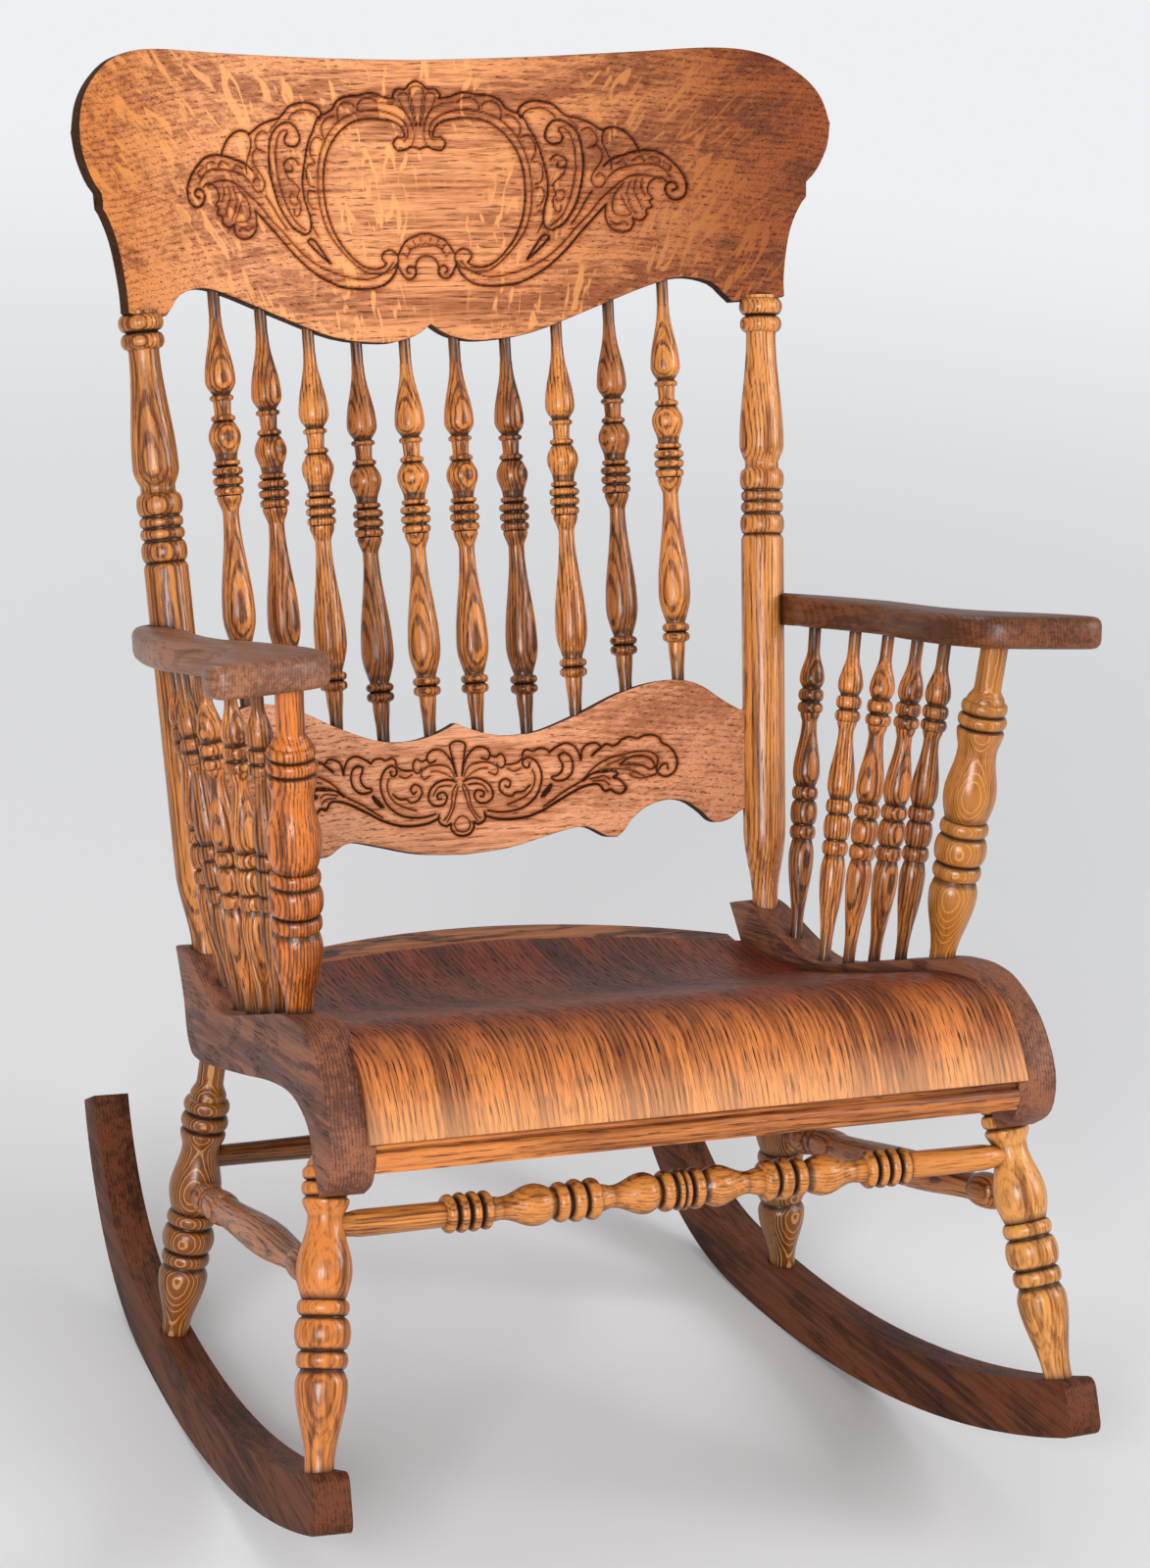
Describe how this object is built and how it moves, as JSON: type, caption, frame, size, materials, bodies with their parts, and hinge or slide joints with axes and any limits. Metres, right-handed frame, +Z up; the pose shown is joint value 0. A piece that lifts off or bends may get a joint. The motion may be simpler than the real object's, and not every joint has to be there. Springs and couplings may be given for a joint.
{
  "type": "pressed back rocking chair",
  "caption": "Oak rocking chair with a bent, pressed crest and slat, turned posts and spindles, rolled bent seat, shaped arms and curved rockers.",
  "frame": {"origin": "midway between the rockers, on the floor, at the line where the rockers touch it at rest", "axes": "+Z up, +X to the right as seen from in front, -Y towards the front of the chair; left and right in names are as seen from in front"},
  "size_m": [0.7566, 0.8422, 1.0529],
  "materials": {
    "crest_oak": "quarter-sawn oak, golden brown, satin varnish",
    "seat_veneer": "bent oak veneer, red-brown, satin varnish",
    "arm_oak": "oak, dark brown, worn satin varnish",
    "rail_oak": "oak, dark grey-brown, satin varnish",
    "rocker_oak": "oak, dark red-brown, satin varnish",
    "turned_oak": "turned oak, golden brown, glossy varnish",
    "screw_steel": "plain steel"
  },
  "bodies": {
    "root": {"crest_rail": "crest_oak", "back_slat": "crest_oak", "back_post_left": "turned_oak", "back_post_right": "turned_oak", "back_spindle_1": "turned_oak", "back_spindle_2": "turned_oak", "back_spindle_3": "turned_oak", "back_spindle_4": "turned_oak", "back_spindle_5": "turned_oak", "back_spindle_6": "turned_oak", "back_spindle_7": "turned_oak", "back_spindle_8": "turned_oak", "back_spindle_9": "turned_oak", "back_spindle_10": "turned_oak", "arm_left": "arm_oak", "arm_right": "arm_oak", "arm_post_left": "turned_oak", "arm_post_right": "turned_oak", "arm_spindle_left_1": "turned_oak", "arm_spindle_left_2": "turned_oak", "arm_spindle_left_3": "turned_oak", "arm_spindle_left_4": "turned_oak", "arm_spindle_left_5": "turned_oak", "arm_spindle_right_1": "turned_oak", "arm_spindle_right_2": "turned_oak", "arm_spindle_right_3": "turned_oak", "arm_spindle_right_4": "turned_oak", "arm_spindle_right_5": "turned_oak", "arm_screws": "screw_steel", "arm_screw_plugs": "turned_oak", "seat_panel": "seat_veneer", "seat_side_left": "rail_oak", "seat_side_right": "rail_oak", "seat_front_rail": "rail_oak", "seat_rear_rail": "rail_oak", "front_leg_left": "turned_oak", "front_leg_right": "turned_oak", "rear_leg_left": "turned_oak", "rear_leg_right": "turned_oak", "front_stretcher": "turned_oak", "rear_stretcher": "turned_oak", "side_stretcher_left": "turned_oak", "side_stretcher_right": "turned_oak", "rocker_left": "rocker_oak", "rocker_right": "rocker_oak"}
  },
  "joints": []
}
